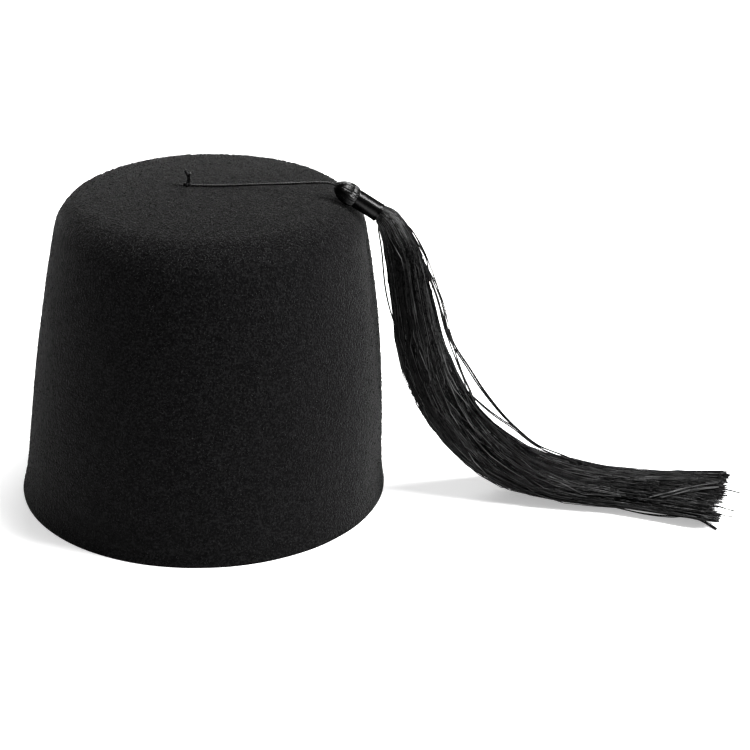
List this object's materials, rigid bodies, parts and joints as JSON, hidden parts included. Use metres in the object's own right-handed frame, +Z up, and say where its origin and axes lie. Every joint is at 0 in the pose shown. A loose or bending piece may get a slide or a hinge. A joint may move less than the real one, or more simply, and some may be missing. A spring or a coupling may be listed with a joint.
{
  "type": "fez hat",
  "caption": "Black felt fez standing on its rim, with a thin cord and a long silky tassel that hangs over the side and lies on the table",
  "frame": {"origin": "On the table, in the middle of the crown's rim", "axes": "+Z up out of the table; the front of the hat faces -Y; the tassel's head lies on the shoulder at +X"},
  "size_m": [0.369, 0.19, 0.1723],
  "materials": {
    "black_felt": "matt wool felt with a short nap",
    "black_thread": "silky twisted thread"
  },
  "bodies": {
    "root": {"crown": "black_felt", "crown_knot": "black_thread", "tassel_cord": "black_thread", "tassel": "black_thread", "neck_binding": "black_thread"}
  },
  "joints": []
}
